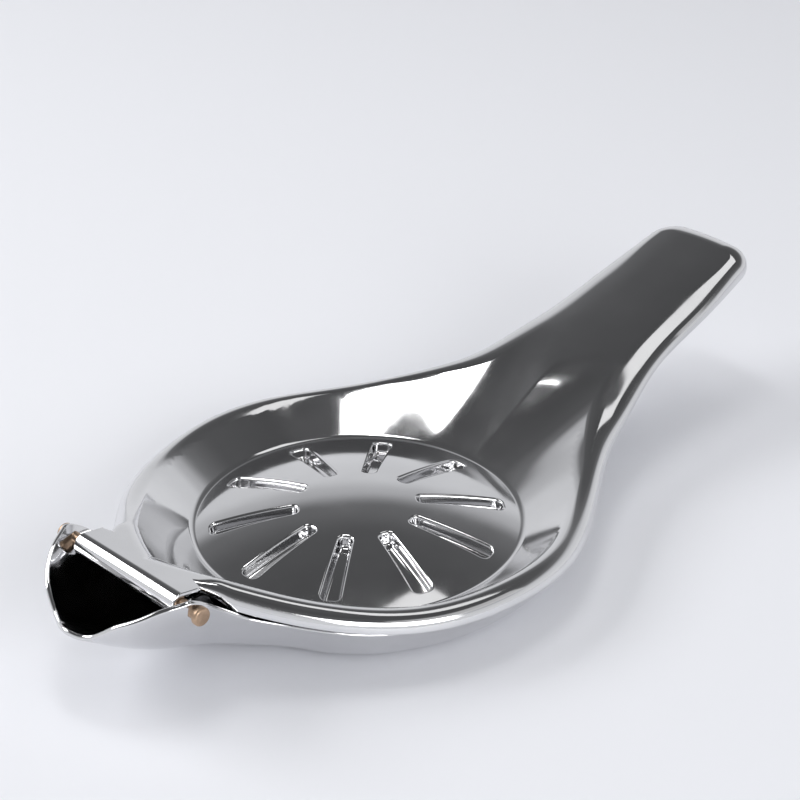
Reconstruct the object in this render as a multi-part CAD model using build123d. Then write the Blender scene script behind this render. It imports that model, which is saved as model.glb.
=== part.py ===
from build123d import *
import math
import os

import numpy as np

# Hinged lemon squeezer: two stamped sheet-steel shells that nest, joined by a headed pin.
# +X runs from the hinge to the handle, +Z is up, and the origin is on the table, under the
# centre of the round press floor. Stations are (x, value) pairs; all sizes are in millimetres.

# ---- sheet and fits
SHEET = 0.85                  # thickness of both stampings
NEST_GAP = 0.4                # free space between the nested handles
PIN_CLEARANCE = 0.05          # radial running clearance of the knuckle on its pin
EAR_CLEARANCE = 0.01          # radial clearance of the pin in the two ears

# ---- round press floor and its grooves
FLOOR_RADIUS = 27.0
FLOOR_LIFT = 1.9              # the floor's edge stands this far above the lower sheet, less a groove
FLOOR_STEP = 0.1              # the floor's edge lies this far below the foot of the wall
FLOOR_DOME = 4.0              # rise of the domed floor from its edge to its middle
FLOOR_LAP = 0.25              # the floor's sheet goes this far into the wall
GROOVE_COUNT = 10
GROOVE_DEPTH = 2.0
GROOVE_INNER_RADIUS = 9.4
GROOVE_OUTER_RADIUS = 24.4
GROOVE_INNER_WIDTH = 3.1
GROOVE_OUTER_WIDTH = 4.2

# ---- outline and rim of the press
PRESS_HALF_WIDTHS = [(-40.3, 12.4), (-36, 17.4), (-28, 25.8), (-15, 34.0), (0, 37.3), (15, 34.6),
                     (30, 25.7), (40, 19.5), (50, 15.7), (60, 13.1), (72, 12.0), (83, 10.8)]
RIM_HEIGHTS = [(-46.2, 19.15), (-36, 17.4), (-28, 14.7), (-15, 11.5), (0, 11.0), (15, 10.5),
               (25, 10.9), (35, 12.5), (45, 15.4), (55, 18.2), (70, 22.2), (90, 28.0)]
ROLL_RADIUS = 2.5             # outer radius of the turned-down rim
LIP_LENGTH = 0.5              # straight part of the lip below the roll
HANDLE_END_X = 89.5
HANDLE_CORNER_RADIUS = 6.0
HANDLE_CAMBER = 0.8           # how far the handle's middle stands above its rolled sides
CAMBER_START_X = 50.0
ROOT_SLOPE = 0.55             # rise of the wall towards the handle
FRONT_SLOPE = 0.82            # rise of the wall towards the hinge
RIM_SOFTNESS = 0.8            # blend between wall and rim

# ---- hinge
HINGE_X = -46.2
PIN_RADIUS = 1.0
PIN_SHANK_SHOWN = 1.1         # bare pin between each ear and its head
PIN_HEAD_RADIUS = 1.5
PIN_HEAD_LENGTH = 1.0
KNUCKLE_HALF_LENGTH = 10.2
TONGUE_LAP = 0.05             # the tongue runs into the press's sheet this far below its face
TONGUE_ROOT = 1.0             # and this far behind its front edge
FRONT_X = -40.3               # the press's front edge, each side of the tongue

# ---- lower shell
BEAK_TIP_X = -59.3
BEAK_OUTLINE = [(-59.3, 0), (-58.4, 3.0), (-56.9, 6.2), (-54.6, 9.6), (-51.2, 12.4), (-47.2, 14.6)]
BASE_FLAT_RADIUS = 26.0
BASE_HALF_WIDTHS = [(-62, 4.8), (-56.9, 6.6), (-54.6, 9.6), (-51.2, 12.4), (-47.2, 14.6),
                    (-44, 14.8), (-40, 15.0), (-37, 16.0)]
FOOT_LIFT = 0.15                        # the bowl stands this far above its flat foot's rim
KEEL_RISES = [(-64, 14.4), (-59.3, 12.1), (-50, 7.0), (-38, 2.6), (-32, 0.8), (-27, 0), (-24, 0),
              (-18, 0), (-9, 0), (9, 0), (18, 0), (24, 0), (27, 0), (31, 0.8), (35, 3.6),
              (40, 7.9), (45, 12.1), (52, 14.8)]
BASE_RIM_HEIGHTS = [(-64, 14.6), (-59.3, 13.3), (-55.2, 16.8), (-51.2, 19.0), (-47.8, 19.8),
                    (-45.3, 18.9), (-41.7, 15.8), (-37.8, 13.0), (-33.5, 11.2), (-27.5, 9.5),
                    (-16, 7.9), (0, 7.6), (15, 7.2), (25, 7.6), (35, 9.1), (45, 12.0), (52, 14.0)]
BASE_INSET = SHEET + NEST_GAP           # the lower handle lies inside the upper one
BASE_FULLNESS = 2.5                     # how square the hull's sections are
BASE_JOIN_X = 47.0                      # where the bowl ends and the channel handle starts
BLEND_START_X = 40.0
BLEND_END_X = 51.0
JOIN_OVERLAP = 1.0
SHOULDER_X = 44.0                       # the bowl's rim draws in from here, under the press's lip
KNEE_SOFTNESS = 60.0                    # how softly the foot's round edge fades at its ends
FLANGE_BOTTOM = [(47, 12.9), (50, 13.0), (57, 14.9), (66, 17.5), (74, 20.0), (92, 25.6)]

# ---- worked out
FLOOR_HEIGHT = SHEET + FLOOR_LIFT + GROOVE_DEPTH + SHEET    # foot of the press's wall
FLOOR_BALL = (FLOOR_RADIUS**2 + FLOOR_DOME**2) / (2 * FLOOR_DOME)   # radius of the dome
ROLL_TANGENT = 0.9                                          # wall meets rim this far inside
WELL_OVERLAP = 0.3                                          # the wall's foot goes under the floor
FRONT_TRIM = 1.5                                            # length cut off the rim's raw front
SKIRT_DEPTH = 60.0
HALF_SPAN_Y = 42.0
PRESS_GRID = (2.9, 2.8)                                     # spacing of surface points, x and y
BASE_GRID = (2.4, 2.0)


def natural_spline(stations):
    """Smooth curve through (x, value) stations, straight beyond both ends."""
    x = np.array([s[0] for s in stations], float)
    y = np.array([s[1] for s in stations], float)
    h = np.diff(x)
    last = len(x) - 1
    system, right = np.eye(last + 1), np.zeros(last + 1)
    for i in range(1, last):
        system[i, i - 1], system[i, i], system[i, i + 1] = h[i - 1], 2 * (h[i - 1] + h[i]), h[i]
        right[i] = 6 * ((y[i + 1] - y[i]) / h[i] - (y[i] - y[i - 1]) / h[i - 1])
    bend = np.linalg.solve(system, right)
    start = (y[1] - y[0]) / h[0] - h[0] * bend[1] / 6
    end = (y[-1] - y[-2]) / h[-1] + h[-1] * bend[-2] / 6

    def value(v):
        if v <= x[0]:
            return y[0] + start * (v - x[0])
        if v >= x[-1]:
            return y[-1] + end * (v - x[-1])
        i = min(int(np.searchsorted(x, v)) - 1, last - 1)
        a, c = x[i + 1] - v, v - x[i]
        return ((bend[i] * a**3 + bend[i + 1] * c**3) / (6 * h[i])
                + (y[i] / h[i] - bend[i] * h[i] / 6) * a
                + (y[i + 1] / h[i] - bend[i + 1] * h[i] / 6) * c)

    return value


def smooth_step(v, low, high):
    t = min(max((v - low) / (high - low), 0.0), 1.0)
    return t * t * (3 - 2 * t)


press_half_width = natural_spline(PRESS_HALF_WIDTHS)
rim_height = natural_spline(RIM_HEIGHTS)
keel_rise = natural_spline(KEEL_RISES)
base_rim_height = natural_spline(BASE_RIM_HEIGHTS)
flange_bottom = natural_spline(FLANGE_BOTTOM)
base_half_width = natural_spline(
    BASE_HALF_WIDTHS + [(x, y - BASE_INSET) for x, y in PRESS_HALF_WIDTHS if x > -35])

HINGE_Z = rim_height(HINGE_X) - PIN_RADIUS - PIN_CLEARANCE - SHEET
PIN_HALF_LENGTH = base_half_width(HINGE_X) + PIN_SHANK_SHOWN + PIN_HEAD_LENGTH


def wall_slopes():
    """(angle round the floor, rise of the wall) so that the wall meets the rim all round."""
    stations = [(0.0, ROOT_SLOPE), (math.pi, FRONT_SLOPE)]
    for x, half_width in PRESS_HALF_WIDTHS:
        if -38 < x < 55:
            crest = half_width - ROLL_RADIUS
            run = math.hypot(x, crest) - FLOOR_RADIUS - ROLL_TANGENT
            stations.append((math.atan2(crest, x), (rim_height(x) - FLOOR_HEIGHT) / run))
    return natural_spline(sorted(stations))


wall_slope = wall_slopes()


def press_top(x, y):
    """Height of the press's upper face: conical wall round the floor, then rim and handle."""
    r = math.hypot(x, y)
    slope = wall_slope(abs(math.atan2(y, x)))
    beyond = r - FLOOR_RADIUS
    wall = FLOOR_HEIGHT + slope * beyond * (1.0 if beyond > 0 else (r / FLOOR_RADIUS) ** 2)
    across = max(0.0, 1 - (y / press_half_width(HANDLE_END_X - HANDLE_CORNER_RADIUS)) ** 2)
    camber = HANDLE_CAMBER * across / (1 + math.exp((CAMBER_START_X - x) / 4))
    rim = rim_height(x) + camber
    overlap = max(RIM_SOFTNESS - abs(wall - rim), 0.0)
    return min(wall, rim) - overlap**2 / (4 * RIM_SOFTNESS)


def base_top(x, y):
    """Height of the lower shell's upper face: hull-like bowl and beak, then the nested handle."""
    room = FLOOR_RADIUS**2 - x * x
    flat = math.sqrt((room + math.hypot(room, KNEE_SOFTNESS)) / 2)
    half_width = base_half_width(x)
    aside = abs(y)
    if aside > half_width:
        aside = half_width + 3 * math.tanh((aside - half_width) / 3)
    across = max(0.0, (aside - flat) / (half_width - flat))
    keel = SHEET + FOOT_LIFT + keel_rise(x)
    bowl = keel + (base_rim_height(x) - keel) * across**BASE_FULLNESS
    handle = press_top(x, y) - BASE_INSET
    share = smooth_step(x, BLEND_START_X, BLEND_END_X)
    return bowl * (1 - share) + handle * share


def block_below(height, x_range, grid, thickness):
    """Solid below the face z = height(x, y), lowered by thickness at right angles to that face."""
    columns = round((x_range[1] - x_range[0]) / grid[0])
    rows = round(2 * HALF_SPAN_Y / grid[1])
    step = 1e-3
    points = []
    for x in np.linspace(*x_range, columns):
        line = []
        for y in np.linspace(-HALF_SPAN_Y, HALF_SPAN_Y, rows):
            z = height(x, y)
            rise = Vector((z - height(x + step, y)) / step, (z - height(x, y + step)) / step, 1)
            line.append(Vector(x, y, z) - rise.normalized() * thickness)
        points.append(line)
    face = Face.make_surface_from_array_of_points(points, tol=0.1, min_deg=3, max_deg=3)
    return Solid.extrude(face, Vector(0, 0, -SKIRT_DEPTH))


def inset_point(half_width, x, inset):
    """Point of an outline moved inwards at right angles to it."""
    step = 1e-3
    slope = (half_width(x + step) - half_width(x - step)) / (2 * step)
    length = math.hypot(1, slope)
    return (x + inset * slope / length, half_width(x) - inset / length)


def handle_end(side_end, inset):
    """Arc that goes on from the side round one corner of the handle's end."""
    radius = HANDLE_CORNER_RADIUS - inset
    lean = side_lean()
    centre = (side_end[0] - radius * math.sin(lean), side_end[1] - radius * math.cos(lean))
    return CenterArc(centre, radius, 90 - math.degrees(lean), math.degrees(lean) - 90)


def side_lean():
    """Angle by which the handle's side closes in where its corner starts."""
    step = 1e-3
    x = HANDLE_END_X - HANDLE_CORNER_RADIUS
    return math.atan((press_half_width(x) - press_half_width(x + step)) / step)


def closed_prism(half_edges, front, back):
    """Prism over an outline given by its +Y half, from front to back on the X axis."""
    edges = list(half_edges) + [mirror(e, about=Plane.XZ) for e in half_edges]
    for point in (front, back):
        if point[1] > 0:
            edges.append(Line((point[0], point[1]), (point[0], -point[1])))
    wire = Wire.combine([e.edges()[0] for e in edges])[0]
    face = Face(wire)
    if face.normal_at().Z < 0:
        face = -face
    return Solid.extrude(face, Vector(0, 0, SKIRT_DEPTH)).moved(Location((0, 0, -SKIRT_DEPTH / 2)))


PRESS_SIDE = [-36, -28, -20, -10, 0, 8, 15, 22, 30, 40, 50, 60, 72]
BASE_SIDE = [50, 60, 72]


def outline_prism(side_stations, inset, front_x):
    """Prism over the outline of the press moved inwards by inset, cut square at front_x."""
    lean = side_lean()
    corner_x = HANDLE_END_X - HANDLE_CORNER_RADIUS * (1 - math.sin(lean))
    stations = [front_x, *side_stations, corner_x]
    points = [inset_point(press_half_width, x, inset) for x in stations]
    start = inset_point(press_half_width, front_x + 1e-3, inset)
    start_tangent = (start[0] - points[0][0], start[1] - points[0][1])
    side = Spline(*points, tangents=[start_tangent, (math.cos(lean), -math.sin(lean))])
    corner = handle_end(points[-1], inset)
    back = corner @ 1
    return closed_prism([side, corner], points[0], (back.X, back.Y))


def hull_prism():
    """Prism over the lower shell's outline, from the beak's tip to the start of its handle."""
    beak = Spline(*BEAK_OUTLINE, tangents=[(0, 1), (1, 0.25)])
    stations = [BEAK_OUTLINE[-1][0], -44, -40, -37, -33, -28, -20, -10, 0, 8, 15, 22, 30, 40, SHOULDER_X]
    side = Spline(*[(x, base_half_width(x)) for x in stations])
    drawn_in = 1.2 * (ROLL_RADIUS - BASE_INSET)
    start_x = BASE_JOIN_X - JOIN_OVERLAP
    shoulder = (start_x, base_half_width(start_x) - drawn_in)
    back = (BASE_JOIN_X, base_half_width(BASE_JOIN_X) - drawn_in)
    return closed_prism([beak, side, Line(side @ 1, shoulder), Line(shoulder, back)],
                        BEAK_OUTLINE[0], back)


def roll_edges(solid, from_x):
    """Upper edges along the sides and the end of a block, behind from_x."""
    found = []
    for edge in solid.edges():
        box, middle = edge.bounding_box(), edge @ 0.5
        upright = box.size.Z > box.size.X + box.size.Y
        across = abs(middle.Y) < 0.5 and middle.X < HANDLE_END_X - HANDLE_CORNER_RADIUS
        if not upright and not across and middle.Z > 0 and middle.X > from_x:
            found.append(edge)
    return found


def profile_below(height, x_low, x_high):
    """Everything under the line z = height(x), across the whole width."""
    line = [(x, height(x)) for x in np.linspace(x_low, x_high, 24)]
    points = [(x_low, -SKIRT_DEPTH), *line, (x_high, -SKIRT_DEPTH)]
    edges = [Line(points[0], points[1]), Spline(*line), Line(points[-2], points[-1]),
             Line(points[-1], points[0])]
    face = Plane.XZ * make_face(edges)
    return extrude(face, amount=2 * HALF_SPAN_Y, both=True)


def groove(margin):
    """One radial groove along +X as a tall block, widened by margin."""
    inner, outer = GROOVE_INNER_RADIUS - margin, GROOVE_OUTER_RADIUS + margin
    near, far = GROOVE_INNER_WIDTH / 2 + margin, GROOVE_OUTER_WIDTH / 2 + margin
    face = make_face(Polyline((inner, near), (outer, far), (outer, -far), (inner, -near),
                              close=True))
    face = fillet([v for v in face.vertices() if v.X < inner + 0.01], near * 0.85)
    face = fillet([v for v in face.vertices() if v.X > outer - 0.01], far * 0.45)
    return extrude(face, amount=SKIRT_DEPTH)


def around(solid):
    return [Rot(0, 0, i * 360 / GROOVE_COUNT) * solid for i in range(GROOVE_COUNT)]


def floor_ball(drop):
    """Ball whose top is the domed press floor, made smaller by drop."""
    centre = FLOOR_HEIGHT - FLOOR_STEP + FLOOR_DOME - FLOOR_BALL
    return Pos(0, 0, centre) * Rot(90, 0, 0) * Sphere(FLOOR_BALL - drop)


def make_floor_plate():
    """Domed press floor with its grooves, which stand out below as ribs."""
    plate = Cylinder(FLOOR_RADIUS + FLOOR_LAP, SKIRT_DEPTH) & (floor_ball(0) - floor_ball(SHEET))
    rib_layer = floor_ball(SHEET / 2) - floor_ball(GROOVE_DEPTH + SHEET)
    groove_bed = floor_ball(GROOVE_DEPTH)
    plate = plate + [block & rib_layer for block in around(groove(SHEET))]
    return plate - [block - groove_bed for block in around(groove(0))]


def hinge_cylinder(radius, half_length):
    cylinder = extrude(Plane.XZ * Circle(radius), amount=half_length, both=True)
    return Pos(HINGE_X, 0, HINGE_Z) * cylinder


def make_tongue():
    """Tongue from the press's front edge to the knuckle that turns on the pin."""
    span = (HINGE_X - 4, FRONT_X + 8)
    side = KNUCKLE_HALF_LENGTH
    root_x, root = FRONT_X + TONGUE_ROOT, side - 2 * TONGUE_ROOT
    plan = Polyline((HINGE_X, side), (FRONT_X, side), (root_x, root), (root_x, -root),
                    (FRONT_X, -side), (HINGE_X, -side), close=True)
    tongue = block_below(press_top, span, PRESS_GRID, TONGUE_LAP) & extrude(
        make_face(plan), amount=SKIRT_DEPTH, both=True)
    tongue = tongue - block_below(press_top, span, PRESS_GRID, TONGUE_LAP + SHEET)
    bore = PIN_RADIUS + PIN_CLEARANCE
    return tongue + hinge_cylinder(bore + SHEET, side) - hinge_cylinder(bore, 2 * side)


def make_upper_shell():
    span = (HINGE_X - 4, HANDLE_END_X + 6)
    block = block_below(press_top, span, PRESS_GRID, 0)
    core = block_below(press_top, span, PRESS_GRID, SHEET)
    raw_front = FRONT_X - FRONT_TRIM
    outer = block & outline_prism(PRESS_SIDE, 0, raw_front)
    outer = outer.fillet(ROLL_RADIUS, roll_edges(outer, raw_front + 1))
    inner = core & outline_prism(PRESS_SIDE, SHEET, raw_front - 2 * SHEET)
    inner = inner.fillet(ROLL_RADIUS - SHEET, roll_edges(inner, raw_front + 1))
    below_lip = profile_below(lambda x: rim_height(x) - ROLL_RADIUS - LIP_LENGTH,
                              raw_front - 3, HANDLE_END_X + 4)
    skirt = below_lip - outline_prism(PRESS_SIDE, ROLL_RADIUS + SHEET, raw_front - 2 * ROLL_RADIUS)
    front = Pos(FRONT_X - SKIRT_DEPTH, 0, 0) * Box(2 * SKIRT_DEPTH, SKIRT_DEPTH, 4 * SKIRT_DEPTH)
    well = Cylinder(FLOOR_RADIUS - WELL_OVERLAP, 2 * SKIRT_DEPTH)
    shell = outer - inner - skirt - front - well
    return shell + [make_floor_plate(), make_tongue()]


def make_lower_shell():
    span = (BEAK_TIP_X - 3, HANDLE_END_X + 6)
    block = block_below(base_top, span, BASE_GRID, 0)
    core = block_below(base_top, span, BASE_GRID, SHEET)
    hull = (block & hull_prism()) - core
    start_x = BASE_JOIN_X - JOIN_OVERLAP
    wall_inset = BASE_INSET + SHEET
    outer = block & outline_prism(BASE_SIDE, BASE_INSET, start_x)
    outer = outer.fillet(ROLL_RADIUS - BASE_INSET, roll_edges(outer, BASE_JOIN_X))
    inner = core & outline_prism(BASE_SIDE, wall_inset, start_x - SHEET)
    inner = inner.fillet(ROLL_RADIUS - wall_inset, roll_edges(inner, BASE_JOIN_X))
    below_flange = profile_below(flange_bottom, start_x - 3, HANDLE_END_X + 4)
    cut_away = below_flange - outline_prism(BASE_SIDE, ROLL_RADIUS + SHEET, start_x - SHEET)
    handle = outer - inner - cut_away
    foot_hole = Cylinder(BASE_FLAT_RADIUS, 4 * SHEET)
    foot = Pos(0, 0, SHEET / 2) * Cylinder(BASE_FLAT_RADIUS + SHEET / 4, SHEET)
    shell = hull - foot_hole + [foot, handle]
    return shell - hinge_cylinder(PIN_RADIUS + EAR_CLEARANCE, 2 * KNUCKLE_HALF_LENGTH)


def make_hinge_pin():
    pin = hinge_cylinder(PIN_RADIUS, PIN_HALF_LENGTH)
    head_start = PIN_HALF_LENGTH - PIN_HEAD_LENGTH
    heads = hinge_cylinder(PIN_HEAD_RADIUS, PIN_HALF_LENGTH) - hinge_cylinder(
        2 * PIN_HEAD_RADIUS, head_start)
    pin = pin + heads
    ends = [e for e in pin.edges() if abs((e @ 0.3).Y) > PIN_HALF_LENGTH - 0.01]
    return fillet(ends, PIN_HEAD_LENGTH * 0.4)


if __name__ == "__main__":
    os.makedirs("parts", exist_ok=True)
    made = {"upper_shell": make_upper_shell, "lower_shell": make_lower_shell,
            "hinge_pin": make_hinge_pin}
    for name, make in made.items():
        export_step(make(), f"parts/{name}.step")
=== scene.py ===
"""Hinged lemon squeezer: two nesting steel shells, their hinge pin and a soft studio stage."""

import math

import bpy
import numpy as np
from bpy.props import FloatProperty, FloatVectorProperty, IntProperty, PointerProperty
from mathutils import Matrix, Vector
from mathutils.geometry import delaunay_2d_cdt


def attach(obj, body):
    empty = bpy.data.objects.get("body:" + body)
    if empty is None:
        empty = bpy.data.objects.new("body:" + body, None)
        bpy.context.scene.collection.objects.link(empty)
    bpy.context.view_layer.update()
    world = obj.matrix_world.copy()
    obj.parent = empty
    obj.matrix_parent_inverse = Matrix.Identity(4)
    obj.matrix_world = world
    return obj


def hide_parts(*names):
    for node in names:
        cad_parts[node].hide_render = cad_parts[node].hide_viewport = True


bl_info = {
    "name": "Lemon Squeezer",
    "version": (1, 0, 0),
    "blender": (4, 5, 0),
    "location": "View3D > Sidebar > Squeezer",
    "description": "Builds a hinged lemon squeezer of polished steel and its studio stage",
    "category": "Add Mesh",
}

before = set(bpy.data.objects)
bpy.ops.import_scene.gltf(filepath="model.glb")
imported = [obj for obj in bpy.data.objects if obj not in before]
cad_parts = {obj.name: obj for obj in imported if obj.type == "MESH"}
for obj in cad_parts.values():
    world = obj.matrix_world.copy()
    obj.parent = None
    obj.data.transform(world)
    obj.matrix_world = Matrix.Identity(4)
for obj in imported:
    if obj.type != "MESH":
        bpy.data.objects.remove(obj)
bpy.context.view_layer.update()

MM = 0.001
CLEAR_SHARE = 0.6             # of the spacing, kept clear between inner and border points

# The shapes below are worked out in millimetres, in the frame of the solids: the table is z = 0
# and the origin lies under the centre of the round press floor. Stations are (x, value) pairs.
FLOOR_RADIUS = 27.0
WALL_FOOT_HEIGHT = 5.6
FLOOR_HEIGHT = 5.5            # at the floor's edge
FLOOR_DOME = 4.0              # rise from there to its middle
FLOOR_BALL = (FLOOR_RADIUS**2 + FLOOR_DOME**2) / (2 * FLOOR_DOME)
CREASE_WIDTH = 0.55
PRESS_HALF_WIDTHS = [(-40.3, 12.4), (-36, 17.4), (-28, 25.8), (-15, 34.0), (0, 37.29), (15, 34.6),
                     (30, 25.7), (40, 19.5), (50, 15.7), (60, 13.1), (72, 12.0), (83, 10.8)]
RIM_HEIGHTS = [(-46.2, 19.15), (-36, 16.9), (-28, 14.1), (-15, 11.3), (0, 10.9), (15, 10.5),
               (25, 10.9), (35, 12.5), (45, 15.4), (55, 18.2), (70, 22.2), (90, 28.0)]
LIP_DEPTHS = [(-41.8, 1.1), (-40.3, 2.0), (-38.5, 2.6), (-36, 3.0), (-31, 3.2), (-22, 3.2),
              (-10, 3.0), (20, 3.0), (43, 3.1), (56, 3.0), (68, 3.0), (83.5, 3.3), (90, 3.3)]
LEAST_LIP = 0.15              # straight lip left below the roll where the roll goes deepest
ROLL_RADIUS = 2.5
FRONT_ROLL_RADIUS = 1.1       # where the roll starts beside the tongue
FULL_ROLL_X = -38.2
HANDLE_REACH = 3.5
HANDLE_REACH_SPAN = (30.0, 62.0)
HANDLE_REACH_LOSS = 2.6       # the roll narrows again towards the handle's end
HANDLE_END_SPAN = (70.0, 83.0)
HANDLE_END_X = 89.5
HANDLE_CORNER_RADIUS = 6.0
HANDLE_CAMBER = 0.8
CAMBER_START_X = 50.0
CAMBER_FADE = 4.0
ROOT_SLOPE = 0.55
FRONT_SLOPE = 0.82
RIM_SOFTNESS = 0.8
ROLL_TANGENT = 0.9
WALL_SPAN = (-38.0, 55.0)     # the wall is fitted to the rim between these

HINGE_X = -46.2
HINGE_Z = 17.25
KNUCKLE_RADIUS = 1.9
KNUCKLE_HALF_LENGTH = 11.7
KNUCKLE_START = -9.6          # degrees from the top, towards the beak
KNUCKLE_END = 268.0
TONGUE_FLARE = 0.8
RIM_START_X = -41.8           # the rolled rim starts here, beside the tongue

GROOVE_COUNT = 10
GROOVE_INNER_RADIUS = 9.4
GROOVE_OUTER_RADIUS = 24.4
GROOVE_INNER_WIDTH = 3.1
GROOVE_OUTER_WIDTH = 4.2
GROOVE_INNER_CORNER = 0.85    # corner radius, as a share of the half width
GROOVE_OUTER_CORNER = 0.7

BEAK_OUTLINE = [(-59.3, 0), (-58.4, 3.0), (-56.9, 6.2), (-54.6, 9.6), (-51.2, 12.4), (-47.2, 14.6)]
BASE_HALF_WIDTHS = [(-62, 4.8), (-56.9, 6.6), (-54.6, 9.6), (-51.2, 12.4), (-47.2, 14.6),
                    (-44, 14.8), (-40, 15.0), (-37, 16.0)]
BASE_WALL_INSET = 0.87        # the bowl's upper edge lies this far inside its outline
EAR_INSET_SHARE = 0.35        # and this share of it along the beak and ears, to let the press by
EAR_SPAN = (-59.0, -56.0, -44.5, -38.5)
WALL_EASE = 3.0               # how far past its edge the wall's profile eases out
SHARED_OUTLINE_X = -35.0      # from here the bowl follows the press, BASE_INSET inside it
KEEL_RISES = [(-64, 15.3), (-59.3, 12.8), (-50, 7.1), (-38, 2.6), (-32, 0.8), (-27, 0), (-24, 0),
              (-18, 0), (-9, 0), (9, 0), (18, 0), (24, 0), (27, 0), (31, 0.8), (35, 3.6),
              (40, 7.9), (45, 12.1), (52, 14.8)]
BASE_RIM_HEIGHTS = [(-64, 15.4), (-59.3, 14.1), (-55.2, 17.0), (-51.2, 18.95), (-47.8, 19.9),
                    (-45.3, 18.9), (-41.7, 16.0), (-37.8, 13.1), (-33.5, 11.6), (-27.5, 10.0),
                    (-16, 8.4), (0, 8.1), (15, 7.7), (25, 8.1), (35, 9.5), (45, 12.0), (52, 14.0)]
FLANGE_BOTTOM = [(46, 12.75), (50, 13.0), (57, 14.9), (66, 17.5), (74, 20.0), (92, 25.6)]
FOOT_RADIUS = 26.0
FOOT_LIFT = 0.15              # the bowl outside its foot stands this far off the table
FOOT_EDGE = (-0.4, 0.6)
BASE_INSET = 1.25
BASE_ROLL_RADIUS = 1.25
BASE_FULLNESS = 2.5
BASE_JOIN_X = 46.0
SHOULDER_X = 44.0             # the bowl's edge is drawn in from here to the handle's roll
INSET_END_X = 25.0
BLEND_START_X = 40.0
BLEND_END_X = 51.0
KNEE_SOFTNESS = 60.0
BEAK_SPACING = 0.6
EAR_STATIONS = (-46.6, -34.0, 22)
BOWL_STATIONS = (-33.0, SHOULDER_X, 76)

# (elevation in degrees, brightness) of the studio round the press
HORIZON = [(-90, 0.8), (0, 0.8), (22, 0.7), (28, 0.5), (34, 0.16), (45, 0.10), (65, 0.08),
           (90, 0.1)]
# (name, azimuth, elevation, distance, size, share of the side brightness), angles in degrees
SIDE_LAMPS = [("left_softbox", 285, 38, 0.75, (0.5, 0.35), 1),
              ("rear_softbox", 150, 26, 0.9, (0.6, 0.35), 1),
              ("handle_glow", 44, 66, 0.8, (0.34, 0.17), 0.18),
              ("side_glow", 115, 40, 0.8, (0.5, 0.28), 0.09)]
CAMERA_AZIMUTH = 44.16788
CAMERA_ELEVATION = 29.646078
CAMERA_ROLL = -0.471007
CAMERA_DISTANCE = 390.97344
CAMERA_ACROSS = 6.85259
CAMERA_UP = 19.71009


def natural_spline(stations):
    """Smooth curve through (x, value) stations, straight beyond both ends."""
    x = np.array([s[0] for s in stations], float)
    y = np.array([s[1] for s in stations], float)
    h = np.diff(x)
    last = len(x) - 1
    system, right = np.eye(last + 1), np.zeros(last + 1)
    for i in range(1, last):
        system[i, i - 1], system[i, i], system[i, i + 1] = h[i - 1], 2 * (h[i - 1] + h[i]), h[i]
        right[i] = 6 * ((y[i + 1] - y[i]) / h[i] - (y[i] - y[i - 1]) / h[i - 1])
    bend = np.linalg.solve(system, right)
    start = (y[1] - y[0]) / h[0] - h[0] * bend[1] / 6
    end = (y[-1] - y[-2]) / h[-1] + h[-1] * bend[-2] / 6

    def value(v):
        v = np.asarray(v, float)
        i = np.clip(np.searchsorted(x, v) - 1, 0, last - 1)
        a, c = x[i + 1] - v, v - x[i]
        inside = ((bend[i] * a**3 + bend[i + 1] * c**3) / (6 * h[i])
                  + (y[i] / h[i] - bend[i] * h[i] / 6) * a
                  + (y[i + 1] / h[i] - bend[i + 1] * h[i] / 6) * c)
        outside = np.where(v < x[0], y[0] + start * (v - x[0]), y[-1] + end * (v - x[-1]))
        return np.where((v < x[0]) | (v > x[-1]), outside, inside)

    return value


def smooth_step(v, low, high):
    """Share that grows smoothly from 0 at low to 1 at high."""
    t = np.clip((v - low) / (high - low), 0, 1)
    return t * t * (3 - 2 * t)


press_half_width = natural_spline(PRESS_HALF_WIDTHS)
rim_height = natural_spline(RIM_HEIGHTS)
lip_depth = natural_spline(LIP_DEPTHS)
keel_rise = natural_spline(KEEL_RISES)
base_rim_height = natural_spline(BASE_RIM_HEIGHTS)
flange_bottom = natural_spline(FLANGE_BOTTOM)
base_half_width = natural_spline(
    BASE_HALF_WIDTHS + [(x, y - BASE_INSET) for x, y in PRESS_HALF_WIDTHS
                        if x > SHARED_OUTLINE_X])


def wall_slopes():
    """(angle round the floor, rise of the wall) so that the wall meets the rim all round."""
    stations = [(0.0, ROOT_SLOPE), (math.pi, FRONT_SLOPE)]
    for x, half_width in PRESS_HALF_WIDTHS:
        if WALL_SPAN[0] < x < WALL_SPAN[1]:
            crest = half_width - ROLL_RADIUS
            run = math.hypot(x, crest) - FLOOR_RADIUS - ROLL_TANGENT
            stations.append((math.atan2(crest, x), (float(rim_height(x)) - WALL_FOOT_HEIGHT) / run))
    return natural_spline(sorted(stations))


wall_slope = wall_slopes()


def press_top(x, y):
    """Height of the press's upper face outside its floor."""
    beyond = np.hypot(x, y) - FLOOR_RADIUS
    wall = WALL_FOOT_HEIGHT + wall_slope(np.abs(np.arctan2(y, x))) * beyond
    end_width = float(press_half_width(HANDLE_END_X - HANDLE_CORNER_RADIUS))
    across = np.maximum(0.0, 1 - (y / end_width) ** 2)
    camber = HANDLE_CAMBER * across / (1 + np.exp((CAMBER_START_X - x) / CAMBER_FADE))
    rim = rim_height(x) + camber
    overlap = np.maximum(RIM_SOFTNESS - np.abs(wall - rim), 0)
    return np.minimum(wall, rim) - overlap**2 / (4 * RIM_SOFTNESS)


def floor_top(x, y):
    """Height of the domed press floor."""
    return (FLOOR_HEIGHT + FLOOR_DOME - FLOOR_BALL
            + np.sqrt(FLOOR_BALL**2 - np.asarray(x)**2 - np.asarray(y)**2))


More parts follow.
